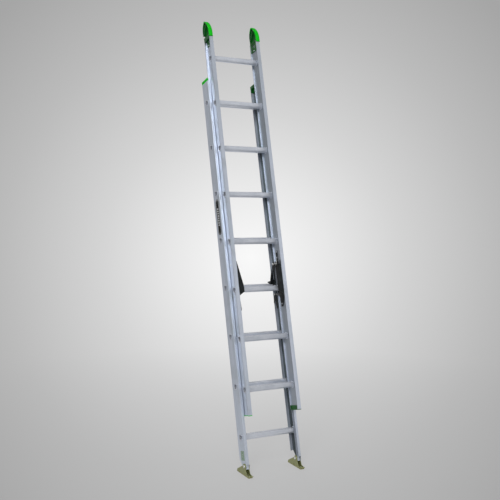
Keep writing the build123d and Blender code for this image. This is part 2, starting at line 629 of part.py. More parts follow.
def fly_cap():
    """Left fly cap: recessed mitt, two riveted tabs, and room for the base rail when nested."""
    web = -FLY_HALF_WIDTH
    outer = web - CAP_OUTSIDE
    inner = web + CAP_INSIDE
    outline = cap_outline()
    head = side_plate(outline, outer, inner)
    hollow = outline & bar(FLY_FRONT - CAP_RISE, FLY_REAR + CAP_RISE, FLY_TOP, FLY_TOP + CAP_RISE)
    hollow = offset(hollow, -CAP_WALL)
    rib = Pos(FLY_Y + CAP_CROWN, FLY_TOP + CAP_RISE / 2) * Rot(0, 0, -CAP_RIB_TILT)
    hollow = hollow - rib * Rectangle(3 * CAP_RISE, CAP_WALL)
    for x0, x1 in ((outer, outer + CAP_RECESS), (inner - CAP_RECESS, inner)):
        head = head - side_plate(hollow, x0, x1)
    front = FLY_FRONT + WALL + BEAD + COVER_GAP
    nest_x = -BASE_HALF_WIDTH + GUIDE_LIP + SLIDE_GAP
    nest_y = GUIDE_FRONT - SLIDE_GAP
    skirt = block(outer, web - COVER_GAP, front, nest_y - WALL, FLY_TOP - CAP_SKIRT, FLY_TOP + WALL)
    nest = block(outer - WALL, nest_x, nest_y, FLY_REAR, FLY_TOP - CAP_SKIRT, FLY_TOP + FLY_DROP + WALL)
    tabs = [
        cap_tab(web - COVER_GAP - CAP_TAB_PLATE, web - COVER_GAP, FLY_Y - CAP_TAB_HALF, FLY_Y + CAP_TAB_HALF),
        cap_tab(
            web + WALL + COVER_GAP,
            web + WALL + COVER_GAP + CAP_TAB_PLATE,
            front,
            FLY_REAR - WALL - COVER_GAP,
        ),
    ]
    hole = rod(FLY_Y, FLY_TOP - CAP_RIVET_DROP, outer - WALL, web + 4 * WALL, RIVET_RADIUS + FIXED_FIT)
    return joined([head, skirt] + tabs) - nest - hole


def cap_rivets():
    """One rivet through each cap and web."""
    x_out = -FLY_HALF_WIDTH - COVER_GAP - CAP_TAB_PLATE
    x_in = -FLY_WEB_IN + COVER_GAP + CAP_TAB_PLATE
    one = rivet(FLY_Y, FLY_TOP - CAP_RIVET_DROP, x_out, x_in)
    return [one, mirrored(one)]


def lock_rivets():
    """The rivets that hold both lock brackets."""
    x_out = -FLY_HALF_WIDTH
    x_in = in_from_web(LOCK_PLATE)
    left = [rivet(y, z, x_out, x_in) for y, z in lock_rivet_places()]
    return left + [mirrored(one) for one in left]


# ---- shoes, drawn with the sole level and the pivot at the origin ----
def shoe():
    """Left shoe: one bent plate with two ears, a sole and a toothed toe."""
    top = SOLE_Z + SOLE_PLATE
    ear = Polygon(
        (SHOE_REAR, SOLE_Z),
        (SHOE_REAR - SHOE_PLATE, top + SHOE_REAR_WALL),
        (SHOE_BOSS, SHOE_FRONT_WALL),
        (-SHOE_BOSS, SHOE_FRONT_WALL),
        (-SHOE_BOSS, -SHOE_BOSS),
        (-1.7 * SHOE_BOSS, top + SHOE_REAR_WALL),
        (-SHOE_FRONT, top + SHOE_FRONT_WALL),
        (-SHOE_FRONT, SOLE_Z),
        align=None,
    )
    ear = ear + Circle(SHOE_BOSS)
    x_out = SHOE_OUT - SHOE_PLATE
    x_in = SHOE_IN + SHOE_PLATE
    ears = [side_plate(ear, x_out, SHOE_OUT), side_plate(ear, SHOE_IN, x_in)]
    sole = block(x_out, x_in, -SHOE_FRONT, SHOE_REAR, SOLE_Z, top)
    width = x_in - x_out
    toe_end = bar(x_out, x_in, -TOE_LENGTH, 0)
    tooth = width / TOE_TEETH
    for number in range(TOE_TEETH):
        x = x_out + (number + 0.5) * tooth
        notch = Triangle(a=tooth, B=45, C=45, align=(Align.CENTER, Align.MIN))
        toe_end = toe_end - Pos(x, -TOE_LENGTH - FIXED_FIT) * notch
    toe_plate = extrude(toe_end, SOLE_PLATE, dir=(0, 0, 1))
    toe = Pos(0, -SHOE_FRONT, SOLE_Z) * Rot(-TOE_ANGLE, 0, 0) * toe_plate
    whole = joined(ears + [sole, toe])
    bolt = rod(0, 0, x_out - WALL, x_in + WALL, SHOE_BOLT_DIAMETER / 2 + RUN_FIT)
    hole_radius = RIVET_RADIUS + FIXED_FIT
    holes = [rod_up(x, y, SOLE_Z - WALL, top + WALL, hole_radius) for x, y in tread_rivet_places()]
    return whole - bolt - joined(holes)


def rod_up(x, y, z0, z1, radius):
    """An upright round bar."""
    return Pos(x, y, (z0 + z1) / 2) * Cylinder(radius, z1 - z0)


def tread_rivet_places():
    """Where the left tread is riveted to the sole."""
    x = (SHOE_OUT + SHOE_IN) / 2
    return [(x, -TREAD_RIVET_PLACE * SHOE_FRONT), (x, TREAD_RIVET_PLACE * SHOE_REAR)]


def shoe_tread():
    """Left rubber tread, ribbed across underneath."""
    x_out = SHOE_OUT - SHOE_PLATE
    x_in = SHOE_IN + SHOE_PLATE
    floor = -SHOE_PIVOT_HEIGHT
    below = floor - WALL
    pad = block(x_out, x_in, -SHOE_FRONT, SHOE_REAR, floor, SOLE_Z)
    slots = []
    pitch = (SHOE_FRONT + SHOE_REAR) / (TREAD_SLOTS + 1)
    for number in range(TREAD_SLOTS):
        y0 = -SHOE_FRONT + (number + 1) * pitch - TREAD_SLOT / 2
        slots.append(block(x_out - WALL, x_in + WALL, y0, y0 + TREAD_SLOT, below, floor + TREAD_RIB))
    for x, y in tread_rivet_places():
        slots.append(rod_up(x, y, below, SOLE_Z + WALL, RIVET_RADIUS + FIXED_FIT))
        slots.append(rod_up(x, y, below, floor + TREAD_RIB + RIVET_HEAD, RIVET_HEAD_RADIUS + SLIDE_GAP))
    return pad - joined(slots)


def tread_rivets():
    """The left tread's rivets, sunk into the rubber below."""
    rivets = []
    low = TREAD_RIB + RIVET_HEAD - SHOE_PIVOT_HEIGHT
    high = SOLE_Z + SOLE_PLATE
    for x, y in tread_rivet_places():
        shank = rod_up(x, y, low, high, RIVET_RADIUS)
        head = rod_up(x, y, high, high + RIVET_HEAD, RIVET_HEAD_RADIUS)
        foot = rod_up(x, y, low - RIVET_HEAD + FIXED_FIT, low, RIVET_HEAD_RADIUS)
        rivets.append(joined([shank, head, foot]))
    return rivets


def shoe_bolt():
    """Left shoe bolt, domed outside, fixed in the rail."""
    radius = SHOE_BOLT_DIAMETER / 2
    x_out = SHOE_OUT - SHOE_PLATE - SLIDE_GAP
    x_end = SHOE_IN + SHOE_PLATE + SLIDE_GAP + SHOE_BOLT_DIAMETER
    head = rod(-PIVOT_FORWARD, 0, x_out - BOLT_HEAD, x_out, 2 * radius)
    rim = head.edges().filter_by(GeomType.CIRCLE).sort_by(Axis.X)[0]
    return rod(-PIVOT_FORWARD, 0, x_out, x_end, radius) + fillet(rim, BOLT_DOME)


def shoe_nut():
    """Left nut, inside the inner ear."""
    x0 = SHOE_IN + SHOE_PLATE + SLIDE_GAP
    height = 0.8 * SHOE_BOLT_DIAMETER
    hexagon = RegularPolygon(radius=SHOE_BOLT_DIAMETER * 0.8, side_count=6, major_radius=False)
    nut = side_plate(Pos(-PIVOT_FORWARD, 0) * hexagon, x0, x0 + height)
    hole_radius = SHOE_BOLT_DIAMETER / 2 + FIXED_FIT
    return nut - rod(-PIVOT_FORWARD, 0, x0 - WALL, x0 + height + WALL, hole_radius)


def shoe_sleeve():
    """Left spacer round the shoe bolt, from the web to the flange edges."""
    x0 = -BASE_HALF_WIDTH + WALL
    x1 = -BASE_HALF_WIDTH + BASE_FLANGE
    radius = SHOE_BOLT_DIAMETER / 2
    tube = rod(-PIVOT_FORWARD, 0, x0, x1, radius + SHOE_PLATE)
    return tube - rod(-PIVOT_FORWARD, 0, x0, x1, radius + FIXED_FIT)


# ---- labels ----
def rail_label():
    """A long blank label with round ends on the left base web."""
    z = FIRST_RUNG + (LABEL_RUNG - 0.5) * RUNG_PITCH
    face = Pos(0, z) * Rot(0, 0, 90) * SlotOverall(LABEL_LENGTH, LABEL_WIDTH)
    return side_plate(face, -BASE_HALF_WIDTH - LABEL_THICKNESS, -BASE_HALF_WIDTH)


def foot_label():
    """A small label low on the left base web."""
    face = Pos(0, FOOT_LABEL_RISE) * RectangleRounded(LABEL_WIDTH, FOOT_LABEL_LENGTH, CAP_WALL)
    return side_plate(face, -BASE_HALF_WIDTH - LABEL_THICKNESS, -BASE_HALF_WIDTH)


# ---- the whole ladder ----
LEANED = Pos(0, 0, FOOT_HEIGHT) * Rot(-LEAN, 0, 0)    # for pieces drawn with the rails upright
LEVEL = Pos(0, -SHOE_PIVOT_FORWARD, SHOE_PIVOT_HEIGHT)   # for the shoes


def both(nodes, name, shape):
    """Store a left-hand piece and its right-hand copy."""
    nodes[name + "_left"] = [shape]
    nodes[name + "_right"] = [mirrored(shape)]


def ladder_nodes():
    """Every piece that leans, by name, as lists of solids."""
    nodes = {}
    both(nodes, "base_rail", base_rail())
    both(nodes, "fly_rail", fly_rail())
    base = rung(BASE_HALF_WIDTH, 0, 0)
    fly = rung(FLY_HALF_WIDTH, FLY_Y, 0)
    for number in range(RUNGS):
        nodes[f"base_rung_{number + 1}"] = [Pos(0, 0, FIRST_RUNG + number * RUNG_PITCH) * base]
        nodes[f"fly_rung_{number + 1}"] = [Pos(0, 0, FLY_FIRST_RUNG + number * RUNG_PITCH) * fly]
    both(nodes, "base_top_plug", base_top_plug())
    both(nodes, "fly_bottom_plug", fly_bottom_plug())
    both(nodes, "fly_cap", fly_cap())
    both(nodes, "lock_bracket", lock_bracket())
    both(nodes, "lock_bolt", lock_bolt())
    both(nodes, "lock_sleeve", lock_sleeve())
    both(nodes, "lock_spring", lock_spring())
    both(nodes, "lock_hook", lock_hook())
    both(nodes, "finger_pin", finger_pin())
    both(nodes, "lock_finger", lock_finger())
    fly_stop_z = FLY_BOTTOM + STOP_LENGTH / 2
    base_stop_z = fly_stop_z + STOP_LENGTH + STROKE_UP + STOP_ALLOWANCE
    fly_stop = stop_block(fly_stop_z, True)
    base_stop = stop_block(base_stop_z, False)
    nodes["fly_stops"] = [fly_stop, mirrored(fly_stop)]
    nodes["base_stops"] = [base_stop, mirrored(base_stop)]
    nodes["cap_rivets"] = cap_rivets()
    nodes["lock_rivets"] = lock_rivets()
    nodes["rail_label"] = [rail_label()]
    nodes["foot_label"] = [foot_label()]
    both(nodes, "shoe_bolt", shoe_bolt())
    nodes["shoe_nuts"] = [shoe_nut(), mirrored(shoe_nut())]
    nodes["shoe_sleeves"] = [shoe_sleeve(), mirrored(shoe_sleeve())]
    return nodes


def shoe_nodes():
    """Every piece of the shoes, which stay level."""
    nodes = {}
    both(nodes, "shoe", shoe())
    both(nodes, "shoe_tread", shoe_tread())
    left = tread_rivets()
    nodes["tread_rivets_left"] = left
    nodes["tread_rivets_right"] = [mirrored(one) for one in left]
    return nodes


def write(nodes, place):
    """Put each piece in its place and write its file."""
    for name, solids in nodes.items():
        placed = [place * solid for solid in solids]
        shape = placed[0] if len(placed) == 1 else Compound(children=placed)
        export_step(shape, f"parts/{name}.step")


os.makedirs("parts", exist_ok=True)
write(ladder_nodes(), LEANED)
write(shoe_nodes(), LEVEL)
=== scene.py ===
# %% [markdown]
# # Extension ladder: finishes, small metalwork and studio
#
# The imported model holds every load-bearing piece of the ladder: rails, rungs, locks, caps and feet. This
# lesson dresses it. We load that model first, because every piece that we add takes its place from it.

import json
import math

import bmesh
import bpy
from mathutils import Matrix, Vector


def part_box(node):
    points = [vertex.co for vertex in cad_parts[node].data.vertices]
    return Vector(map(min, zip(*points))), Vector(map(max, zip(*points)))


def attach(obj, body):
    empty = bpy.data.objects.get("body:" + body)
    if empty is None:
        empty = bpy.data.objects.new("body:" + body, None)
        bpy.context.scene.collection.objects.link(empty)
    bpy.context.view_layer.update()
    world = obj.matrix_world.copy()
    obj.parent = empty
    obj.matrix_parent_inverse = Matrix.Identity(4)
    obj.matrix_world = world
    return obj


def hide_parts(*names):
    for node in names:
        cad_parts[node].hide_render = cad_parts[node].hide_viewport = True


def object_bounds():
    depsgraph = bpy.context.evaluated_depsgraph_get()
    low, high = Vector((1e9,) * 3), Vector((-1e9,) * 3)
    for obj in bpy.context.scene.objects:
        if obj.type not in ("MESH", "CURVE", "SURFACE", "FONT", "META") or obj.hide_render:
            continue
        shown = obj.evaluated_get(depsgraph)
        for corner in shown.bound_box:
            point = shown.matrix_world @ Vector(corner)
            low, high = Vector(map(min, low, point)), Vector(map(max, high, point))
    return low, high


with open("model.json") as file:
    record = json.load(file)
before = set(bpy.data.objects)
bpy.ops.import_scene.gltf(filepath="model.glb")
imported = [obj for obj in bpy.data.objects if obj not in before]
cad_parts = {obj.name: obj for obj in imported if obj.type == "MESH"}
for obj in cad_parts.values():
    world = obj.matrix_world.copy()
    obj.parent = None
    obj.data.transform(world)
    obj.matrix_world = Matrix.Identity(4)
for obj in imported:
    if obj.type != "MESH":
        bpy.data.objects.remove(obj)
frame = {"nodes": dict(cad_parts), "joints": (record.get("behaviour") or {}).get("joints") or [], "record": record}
CAD_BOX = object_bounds()

# %% [markdown]
# ## The ladder's own upright
#
# A ladder leans, so nothing on it runs along a plain axis. We could turn every piece by hand. It is
# simpler to read the lean once, from the direction in which the fly section slides, and to write two small
# helpers: one turns an upright offset into a leaned one, the other gives the axis of a rung.

# %% Lean and rung places
MM = 0.001
RUNGS = 8
SIDES = ("left", "right")
SECTIONS = ("base", "fly")

slide = [joint for joint in frame["joints"] if joint["name"] == "fly_slide"][0]
LEAN = math.atan2(slide["axis"][1], slide["axis"][2])
UP_RAIL = Vector(slide["axis"]).normalized()
OFF_RAIL = Vector((0, UP_RAIL.z, -UP_RAIL.y))


def leaned(origin, x, off, up):
    """A point x across, off behind and up along the rails from an origin, in metres."""
    return Vector(origin) + Vector((x, 0, 0)) + OFF_RAIL * off + UP_RAIL * up


def centre_of(node):
    """The middle of a CAD node's box."""
    low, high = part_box(node)
    return (low + high) / 2


def rung_axis(node):
    """A point on a rung's axis, midway across the ladder. The rung's box is as wide as its round part."""
    low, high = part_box(node)
    return Vector((0, (low.y + high.y) / 2, low.z + (high.y - low.y) / 2))


print("lean", round(math.degrees(LEAN), 2), "first rung", rung_axis("base_rung_1"))

# %% [markdown]
# ## Small helpers for shaders
#
# A finish is a handful of nodes wired together. Writing each node takes three or four lines, so one helper
# makes a node, sets its numbers and wires whatever is itself a socket. A second one starts a material, and
# gives texture coordinates turned upright, so that streaks can run along the rails.

# %% Shader helpers


def add(tree, kind, inputs=None, **settings):
    """A node in a tree. Inputs that are sockets get a wire, and other inputs a value."""
    made = tree.nodes.new(kind)
    for name, value in settings.items():
        setattr(made, name, value)
    for name, value in (inputs or {}).items():
        if isinstance(value, bpy.types.NodeSocket):
            tree.links.new(value, made.inputs[name])
        else:
            made.inputs[name].default_value = value
    return made


def start_finish(name):
    """A new material, its tree and its shader."""
    material = bpy.data.materials.new(name)
    material.use_nodes = True
    tree = material.node_tree
    return material, tree, tree.nodes["Principled BSDF"]


def upright(tree, stretch=(1, 1, 1), move=(0, 0, 0)):
    """Object coordinates turned so that their Z runs along the rails, then stretched."""
    place = add(tree, "ShaderNodeTexCoord").outputs["Object"]
    turned = add(tree, "ShaderNodeMapping", {"Vector": place, "Rotation": (LEAN, 0, 0), "Location": move})
    return add(tree, "ShaderNodeMapping", {"Vector": turned.outputs["Vector"], "Scale": stretch}).outputs[0]


def noise(tree, place, scale, detail=4.0, roughness=0.6):
    """Cloudy variation from 0 to 1."""
    inputs = {"Vector": place, "Scale": scale, "Detail": detail, "Roughness": roughness}
    return add(tree, "ShaderNodeTexNoise", inputs).outputs["Fac"]


def ramp(tree, factor, stops):
    """A colour for each value of a factor. Stops are (place, colour) pairs."""
    made = add(tree, "ShaderNodeValToRGB", {"Fac": factor})
    elements = made.color_ramp.elements
    while len(elements) < len(stops):
        elements.new(0.5)
    for element, (place, colour) in zip(elements, stops):
        element.position = place
        element.color = (*colour, 1)
    return made.outputs["Color"]


def remap(tree, value, low, high, new_low, new_high):
    """A value moved from one range to another."""
    inputs = {"Value": value, "From Min": low, "From Max": high, "To Min": new_low, "To Max": new_high}
    return add(tree, "ShaderNodeMapRange", inputs).outputs["Result"]


def mix_colour(tree, factor, a, b, blend="MIX"):
    """Two colours mixed by a factor."""
    made = add(tree, "ShaderNodeMix", data_type="RGBA", blend_type=blend)
    for socket, value in zip((made.inputs[0], made.inputs[6], made.inputs[7]), (factor, a, b)):
        if isinstance(value, bpy.types.NodeSocket):
            tree.links.new(value, socket)
        else:
            socket.default_value = value if isinstance(value, float) else (*value, 1)
    return made.outputs[2]


def bump(tree, height, strength, distance):
    """A normal from a height, in metres."""
    inputs = {"Height": height, "Strength": strength, "Distance": distance}
    return add(tree, "ShaderNodeBump", inputs).outputs["Normal"]


finishes = {}
print("shader helpers ready")

# %% [markdown]
# ## Mill aluminium
#
# Ladder rails are extruded and left as they come from the die: fine lines run along them, the sheen varies
# in long soft bands, and handling leaves dull patches. One way is a scratched image. We stretch a noise
# fifty times along the rail, which gives the die lines for the roughness and the bump at no cost, and lay
# two slow noises over it for the bands and the dull patches. The faces that look inward, into the ladder,
# are darkened as painted shade, those of the base rails most of all, and the distance from the middle of
# the ladder tells which rail a point is on.

# %% Rail finish
BETWEEN_RAILS = 175 * MM


def rail_aluminium():
    """Extruded rail: die lines along it, cool bands, dull patches, and painted shade on the inner faces."""
    material, tree, shader = start_finish("rail_aluminium")
    lines = noise(tree, upright(tree, (1, 1, 0.004)), 900, 3)
    bands = noise(tree, upright(tree, (1, 1, 0.05)), 28, 2)
    patches = noise(tree, upright(tree), 7, 5)
    base = ramp(tree, bands, [(0.3, (0.58, 0.65, 0.74)), (0.7, (0.74, 0.79, 0.90))])
    worn = mix_colour(tree, remap(tree, patches, 0.5, 0.72, 0, 0.5), base, (0.46, 0.51, 0.54))
    fine = mix_colour(tree, remap(tree, lines, 0.35, 0.65, 0, 0.2), worn, (0.82, 0.85, 0.92))
    # Painted shade: faces that look inward are mixed towards near-black, those of the base rails most.
    across = add(tree, "ShaderNodeSeparateXYZ", {"Vector": upright(tree)}).outputs["X"]
    facing = add(tree, "ShaderNodeNewGeometry").outputs["Normal"]
    sideways = add(tree, "ShaderNodeSeparateXYZ", {"Vector": facing}).outputs["X"]
    outward = add(tree, "ShaderNodeMath", {0: across, 1: sideways}, operation="MULTIPLY").outputs[0]
    width = add(tree, "ShaderNodeMath", {0: across}, operation="ABSOLUTE").outputs[0]
    dull = remap(tree, width, BETWEEN_RAILS, BETWEEN_RAILS + 4 * MM, 0.4, 0.93)
    inside = remap(tree, outward, -0.10, -0.02, 1.0, 0.0)
    share = add(tree, "ShaderNodeMath", {0: dull, 1: inside}, operation="MULTIPLY").outputs[0]
    inner_shade = mix_colour(tree, share, fine, (0.03, 0.045, 0.045))
    tree.links.new(inner_shade, shader.inputs["Base Color"])
    shader.inputs["Metallic"].default_value = 0.75
    tree.links.new(remap(tree, lines, 0.3, 0.7, 0.36, 0.52), shader.inputs["Roughness"])
    tree.links.new(bump(tree, lines, 0.25, 0.0002), shader.inputs["Normal"])
    return material


finishes["rail_aluminium"] = rail_aluminium()
print("finish", finishes["rail_aluminium"].name)

# %% [markdown]
# ## Rung aluminium
#
# The rungs come from another die and run across the ladder, so their lines run along X. The faces that
# look up are brightened, a painted highlight where the light falls on the treads, and the round undersides
# stay darker. We read the surface's own direction, which is fixed to the piece, and brighten what faces up.
# The hollow ends stay dark, where little light gets in.

# %% Rung finish


def rung_aluminium():
    """Extruded rung: lines across the ladder and a painted highlight on the faces that look up."""
    material, tree, shader = start_finish("rung_aluminium")
    lines = noise(tree, upright(tree, (0.006, 1, 1)), 1100, 3)
    patches = noise(tree, upright(tree), 16, 5)
    facing = add(tree, "ShaderNodeNewGeometry").outputs["Normal"]
    up = add(tree, "ShaderNodeSeparateXYZ", {"Vector": facing}).outputs["Z"]
    base = ramp(tree, patches, [(0.35, (0.70, 0.74, 0.82)), (0.65, (0.82, 0.85, 0.92))])
    # Painted highlight: faces that look up are mixed towards a pale colour.
    tread = mix_colour(tree, remap(tree, up, 0.5, 0.95, 0, 0.75), base, (0.93, 0.94, 0.99))
    scuffed = mix_colour(tree, remap(tree, lines, 0.4, 0.7, 0, 0.2), tread, (0.62, 0.65, 0.70))
    hollow = add(tree, "ShaderNodeAmbientOcclusion", {"Distance": 30 * MM}).outputs["AO"]
    deep = mix_colour(tree, remap(tree, hollow, 0.25, 0.55, 0.95, 0.0), scuffed, (0.02, 0.025, 0.025))
    tree.links.new(deep, shader.inputs["Base Color"])
    shader.inputs["Metallic"].default_value = 0.7
    tree.links.new(remap(tree, patches, 0.3, 0.7, 0.34, 0.5), shader.inputs["Roughness"])
    tree.links.new(bump(tree, lines, 0.2, 0.0002), shader.inputs["Normal"])
    return material


finishes["rung_aluminium"] = rung_aluminium()
print("finish", finishes["rung_aluminium"].name)

# %% [markdown]
# ## Green plastics
#
# Two greens meet on the caps: a deep green, slightly glossy body, and a rougher, much brighter green on the
# strip over the front and top. The bright green is painted light where the light falls on the cap, and the
# deep green of the body stands in for the shade on its sides. Both carry the faint grain of a spark-finished
# mould. The same function makes both, with the colours and the gloss as its inputs.

# %% Green finishes


def moulded_plastic(name, dark, light, rough, grain):
    """Moulded plastic: cloudy colour, a fine grained skin and rub marks."""
    material, tree, shader = start_finish(name)
    clouds = noise(tree, upright(tree), 45, 4)
    skin = noise(tree, upright(tree), 1800, 2)
    rubs = noise(tree, upright(tree, (1, 1, 0.3)), 160, 6, 0.7)
    colour = ramp(tree, clouds, [(0.3, dark), (0.7, light)])
    pale = mix_colour(tree, remap(tree, rubs, 0.62, 0.8, 0, 0.35), colour, light)
    tree.links.new(pale, shader.inputs["Base Color"])
    tree.links.new(remap(tree, rubs, 0.4, 0.7, rough, rough + 0.15), shader.inputs["Roughness"])
    shader.inputs["Specular IOR Level"].default_value = 0.25
    tree.links.new(bump(tree, skin, grain, 0.0002), shader.inputs["Normal"])
    return material


PLASTICS = {
    # The deep green stands in for plastic in shade and the bright green for plastic in light: painted shade and
    # painted light.
    "green_plastic": ((0.003, 0.055, 0.008), (0.008, 0.14, 0.018), 0.28, 0.25),
    "bright_green": ((0.0, 0.48, 0.003), (0.001, 0.62, 0.006), 0.5, 0.35),
    "black_plastic": ((0.012, 0.012, 0.013), (0.03, 0.03, 0.032), 0.45, 0.4),
}
for name, (dark, light, rough, grain) in PLASTICS.items():
    finishes[name] = moulded_plastic(name, dark, light, rough, grain)
print("plastics", len(PLASTICS))

# %% [markdown]
# ## Steels
#
# The locks are coated black, the feet are yellow-zinc plated, and the bolts and rivets are bright zinc.
# Plating shows as slow drifts between olive, straw and a hint of pink; a coating shows as a fine orange
# peel that is rubbed through on edges. A flat metal colour would have neither.

# %% Steel finishes


def black_steel():
    """Black coated steel: fine orange peel and greyed rubs."""
    material, tree, shader = start_finish("black_steel")
    peel = noise(tree, upright(tree), 900, 2)
    rubs = noise(tree, upright(tree, (1, 1, 0.4)), 70, 6, 0.7)
    colour = ramp(tree, rubs, [(0.45, (0.005, 0.006, 0.007)), (0.75, (0.025, 0.034, 0.034))])
    tree.links.new(colour, shader.inputs["Base Color"])
    tree.links.new(remap(tree, rubs, 0.35, 0.7, 0.3, 0.5), shader.inputs["Roughness"])
    shader.inputs["Specular IOR Level"].default_value = 0.3
    tree.links.new(bump(tree, peel, 0.3, 0.0002), shader.inputs["Normal"])
    return material


def plated_steel():
    """Yellow zinc: olive and straw drifts over brushed steel."""
    material, tree, shader = start_finish("plated_steel")
    drift = noise(tree, upright(tree), 38, 5, 0.65)
    brush = noise(tree, upright(tree, (1, 0.05, 1)), 700, 3)
    colour = ramp(tree, drift, [
        (0.30, (0.24, 0.25, 0.10)),
        (0.50, (0.36, 0.38, 0.18)),
        (0.66, (0.32, 0.35, 0.19)),
        (0.8, (0.40, 0.34, 0.18)),
    ])
    brushed = mix_colour(tree, remap(tree, brush, 0.4, 0.7, 0, 0.3), colour, (0.30, 0.28, 0.14))
    tree.links.new(brushed, shader.inputs["Base Color"])
    shader.inputs["Metallic"].default_value = 0.6
    tree.links.new(remap(tree, brush, 0.3, 0.7, 0.32, 0.5), shader.inputs["Roughness"])
    tree.links.new(bump(tree, brush, 0.2, 0.0002), shader.inputs["Normal"])
    return material


def bright_steel():
    """Bright zinc with a mottled sheen."""
    material, tree, shader = start_finish("bright_steel")
    mottle = noise(tree, upright(tree), 420, 4)
    colour = ramp(tree, mottle, [(0.3, (0.62, 0.63, 0.62)), (0.7, (0.85, 0.85, 0.83))])
    tree.links.new(colour, shader.inputs["Base Color"])
    shader.inputs["Metallic"].default_value = 0.9
    tree.links.new(remap(tree, mottle, 0.3, 0.7, 0.22, 0.4), shader.inputs["Roughness"])
    tree.links.new(bump(tree, mottle, 0.15, 0.0002), shader.inputs["Normal"])
    return material


finishes["black_steel"] = black_steel()
finishes["plated_steel"] = plated_steel()
finishes["bright_steel"] = bright_steel()
print("steels", 3)

# %% [markdown]
# ## Rubber and stickers
#
# The soles are an olive rubber with dust in its pores. The two stickers carry no words: the long one is
# black with a pale rim and a plain row of dashes, the small one green with two pale bars. A drawing like
# this needs no image. Distances from the sticker's middle line, compared with a few sizes, draw each shape.

# %% Rubber and sticker finishes


def tread_rubber():
    """Olive rubber, dusty in its pores."""
    material, tree, shader = start_finish("tread_rubber")
    pores = noise(tree, upright(tree), 1200, 3)
    dust = noise(tree, upright(tree), 60, 6, 0.7)
    colour = ramp(tree, dust, [(0.35, (0.20, 0.19, 0.06)), (0.7, (0.42, 0.40, 0.20))])
    tree.links.new(colour, shader.inputs["Base Color"])
    shader.inputs["Roughness"].default_value = 0.8
    tree.links.new(bump(tree, pores, 0.5, 0.0003), shader.inputs["Normal"])
    return material


def math_node(tree, operation, a, b=0.0):
    """One step of arithmetic."""
    return add(tree, "ShaderNodeMath", {0: a, 1: b}, operation=operation).outputs[0]


def sticker(name, node, paper, ink, rim, dash, dash_share, band):
    """A film with an inked rim and a row of dashes along its middle. Sizes are in metres."""
    material, tree, shader = start_finish(name)
    low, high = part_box(node)
    middle = (low + high) / 2
    half_up = (high.z - low.z) / 2 / math.cos(LEAN) - band * 0.9
    place = add(tree, "ShaderNodeTexCoord").outputs["Object"]
    shifted = add(tree, "ShaderNodeVectorMath", {0: place, 1: tuple(middle)}, operation="SUBTRACT").outputs[0]
    turned = add(tree, "ShaderNodeMapping", {"Vector": shifted, "Rotation": (LEAN, 0, 0)}).outputs["Vector"]
    axes = add(tree, "ShaderNodeSeparateXYZ", {"Vector": turned}).outputs
    off = math_node(tree, "ABSOLUTE", axes["Y"])
    up = math_node(tree, "ABSOLUTE", axes["Z"])
    beyond = math_node(tree, "MAXIMUM", math_node(tree, "SUBTRACT", up, half_up - rim * 4), 0.0)
    squares = [math_node(tree, "MULTIPLY", side, side) for side in (off, beyond)]
    round_end = math_node(tree, "SQRT", math_node(tree, "ADD", *squares))
    from_rim = math_node(tree, "ABSOLUTE", math_node(tree, "SUBTRACT", round_end, band))
    ring = math_node(tree, "LESS_THAN", from_rim, rim / 2)
    phase = math_node(tree, "FRACT", math_node(tree, "DIVIDE", axes["Z"], dash))
    from_dash = math_node(tree, "ABSOLUTE", math_node(tree, "SUBTRACT", phase, 0.5))
    in_dash = math_node(tree, "LESS_THAN", from_dash, dash_share / 2)
    in_row = math_node(tree, "LESS_THAN", off, band * 0.42)
    in_length = math_node(tree, "LESS_THAN", up, half_up * 0.62)
    dashes = math_node(tree, "MULTIPLY", math_node(tree, "MULTIPLY", in_dash, in_row), in_length)
    inked = math_node(tree, "MAXIMUM", ring, dashes)
    film = noise(tree, place, 90, 5)
    scuffed = mix_colour(tree, remap(tree, film, 0.6, 0.8, 0, 0.12), paper, (0.25, 0.26, 0.26))
    tree.links.new(mix_colour(tree, inked, scuffed, ink), shader.inputs["Base Color"])
    tree.links.new(remap(tree, film, 0.3, 0.7, 0.45, 0.6), shader.inputs["Roughness"])
    shader.inputs["Specular IOR Level"].default_value = 0.12
    return material


LONG_BAND = 17 * MM
SMALL_BAND = 15 * MM
finishes["tread_rubber"] = tread_rubber()
finishes["black_label"] = sticker(
    "black_label", "rail_label", (0.008, 0.008, 0.009), (0.82, 0.84, 0.86), 2 * MM, 15 * MM, 0.55, LONG_BAND)
finishes["green_label"] = sticker(
    "green_label", "foot_label", (0.26, 0.36, 0.28), (0.50, 0.57, 0.50), 2 * MM, 12 * MM, 0.4, SMALL_BAND)
print("stickers", 2)

# %% [markdown]
# ## Put each finish on its nodes
#
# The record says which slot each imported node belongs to. Its shape is right, so it stays, and only its
# material changes.

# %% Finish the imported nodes
for subpart in frame["record"]["subparts"]:
    body = frame["nodes"][subpart["node"]]
    body.data.materials.clear()
    body.data.materials.append(finishes[subpart["material_slot"]])
# The left plugs, which face the light, take the bright green and the right ones keep the deep green: painted light
# and painted shade on copies of one plug.
for node in ("base_top_plug_left", "fly_bottom_plug_left"):
    frame["nodes"][node].data.materials[0] = finishes["bright_green"]

# %% [markdown]
# ## Geometry Nodes, started the same way each time
#
# Swage marks, tread ridges and springs all repeat or follow a line, so a node tree makes each of them. Each
# tree needs the same start: a geometry input, a few named sizes, and an end that realizes instances and
# sets the material. Two helpers do that. The second one also turns the result into a plain mesh, because
# only plain meshes can be handed on.

# %% Node tree helpers


